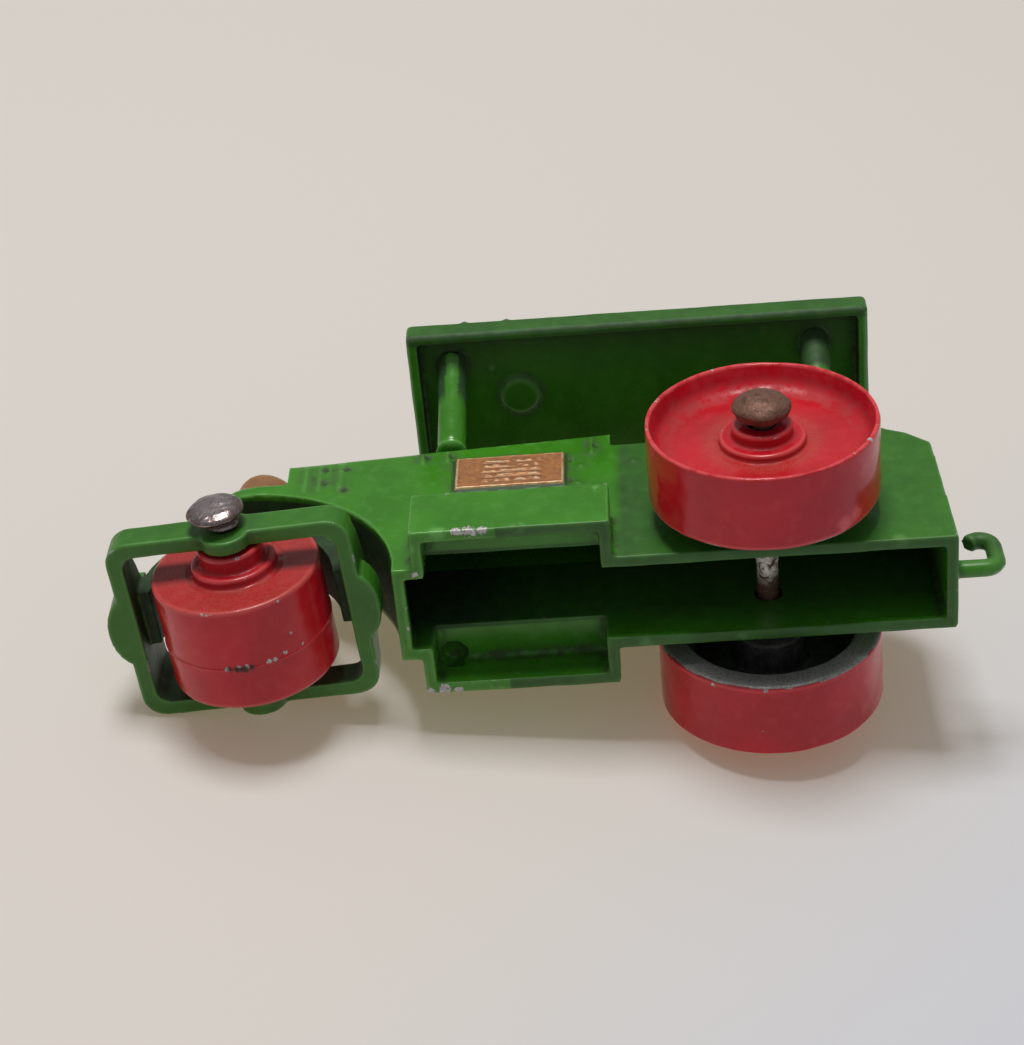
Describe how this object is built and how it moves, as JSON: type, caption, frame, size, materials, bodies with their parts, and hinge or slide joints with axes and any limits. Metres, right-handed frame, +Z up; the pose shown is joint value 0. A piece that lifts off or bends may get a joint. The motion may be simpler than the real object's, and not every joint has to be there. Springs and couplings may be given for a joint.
{
  "type": "toy road roller",
  "caption": "Die-cast toy road roller with a canopy on posts, a hood, step boxes, cup-shaped rear rollers and a front roller in a steered yoke.",
  "frame": {"origin": "on the ground under the middle of the toy's bounding box", "axes": "+Z up, +X to the toy's left, +Y to its rear, so it faces -Y"},
  "size_m": [0.024, 0.0574, 0.0249],
  "materials": {
    "green_paint": "glossy enamel on zinc die casting, worn at the edges",
    "red_paint": "glossy enamel on zinc die casting, worn at the rims",
    "pin_steel": "dull pitted steel nail",
    "axle_steel": "steel rod with rusty domed heads",
    "gold_paint": "copper-gold painted rivet cap"
  },
  "bodies": {
    "chassis": {"body_casting": "green_paint", "canopy": "green_paint", "kingpin": "gold_paint"},
    "yoke": {"front_yoke": "green_paint", "front_axle_pin": "pin_steel"},
    "front_roller": {"front_roller": "red_paint"},
    "rear_axle": {"rear_axle": "axle_steel"},
    "rear_roller_left": {"rear_roller_left": "red_paint"},
    "rear_roller_right": {"rear_roller_right": "red_paint"}
  },
  "joints": [
    {"name": "steering", "type": "hinge", "parent": "chassis", "child": "yoke", "pos_m": [0, -0.01962, 0.01285], "axis": [0, 0.0238, 0.9997], "range_deg": [-16.4, 23.6]},
    {"name": "front_roller_spin", "type": "hinge", "parent": "yoke", "child": "front_roller", "pos_m": [0, -0.01979, 0.0054], "axis": [0.998, -0.0628, 0.0015], "continuous": true},
    {"name": "rear_axle_spin", "type": "hinge", "parent": "chassis", "child": "rear_axle", "pos_m": [0, 0.01381, 0.0073], "axis": [1, 0, 0], "continuous": true},
    {"name": "rear_left_roller_spin", "type": "hinge", "parent": "rear_axle", "child": "rear_roller_left", "pos_m": [0.0077, 0.01381, 0.0073], "axis": [1, 0, 0], "continuous": true},
    {"name": "rear_right_roller_spin", "type": "hinge", "parent": "rear_axle", "child": "rear_roller_right", "pos_m": [-0.0077, 0.01381, 0.0073], "axis": [1, 0, 0], "continuous": true}
  ]
}
